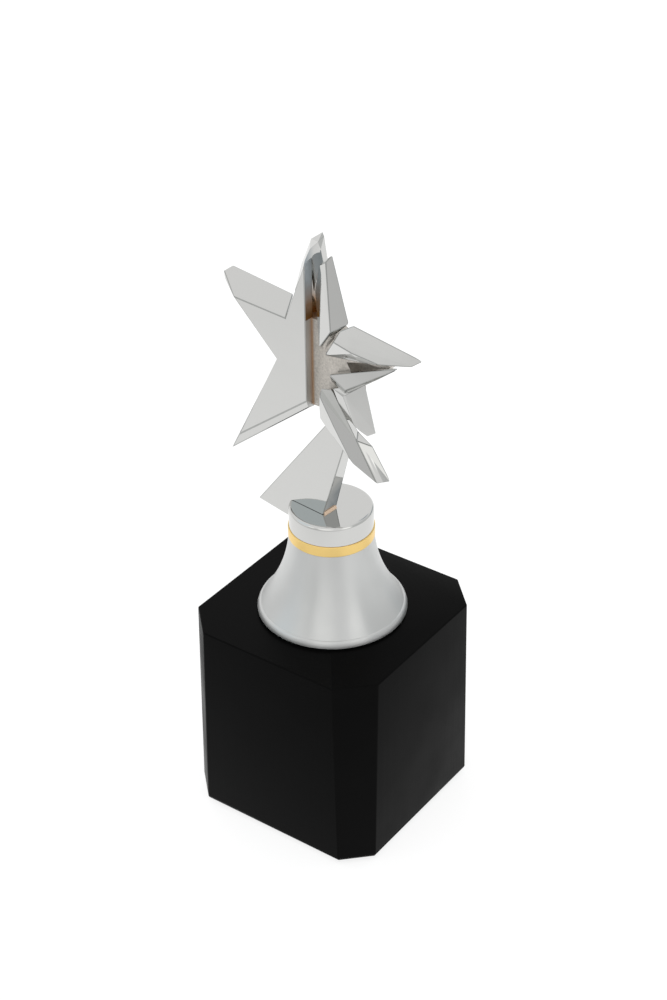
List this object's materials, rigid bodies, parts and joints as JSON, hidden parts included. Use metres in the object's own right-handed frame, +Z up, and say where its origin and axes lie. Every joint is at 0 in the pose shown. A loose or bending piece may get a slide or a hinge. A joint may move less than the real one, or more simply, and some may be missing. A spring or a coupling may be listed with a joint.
{
  "type": "column trophy",
  "caption": "Star award: a faceted chromed star on a slanting fin, held by a turned bell column with a brass ring on a black chamfered wooden block.",
  "frame": {"origin": "on the column's axis, at the plane that the trophy stands on", "axes": "+Z up, front of the trophy -Y, +X to its right"},
  "size_m": [0.082, 0.07, 0.2045],
  "materials": {
    "felt": "black wool felt",
    "black_wood": "satin black lacquer on wood",
    "zinc_steel": "zinc plated",
    "turned_aluminium": "satin, turned",
    "brass": "satin gold",
    "chrome": "mirror polished",
    "braze": "as brazed",
    "blasted_casting": null
  },
  "bodies": {
    "root": {"felt_pad": "felt", "base_block": "black_wood", "base_nut": "zinc_steel", "spring_washer": "zinc_steel", "flat_washer": "zinc_steel", "tie_rod": "zinc_steel", "bell_column": "turned_aluminium", "brass_ring": "brass", "cap": "chrome", "foot_braze": "braze", "fin": "chrome", "star_core": "blasted_casting", "star_plate": "chrome", "spire_blade": "chrome", "upper_right_blade": "chrome", "right_upper_blade": "chrome", "right_lower_blade": "chrome", "lower_right_blade": "chrome", "lower_left_blade": "chrome", "blade_pins": "zinc_steel"}
  },
  "joints": []
}
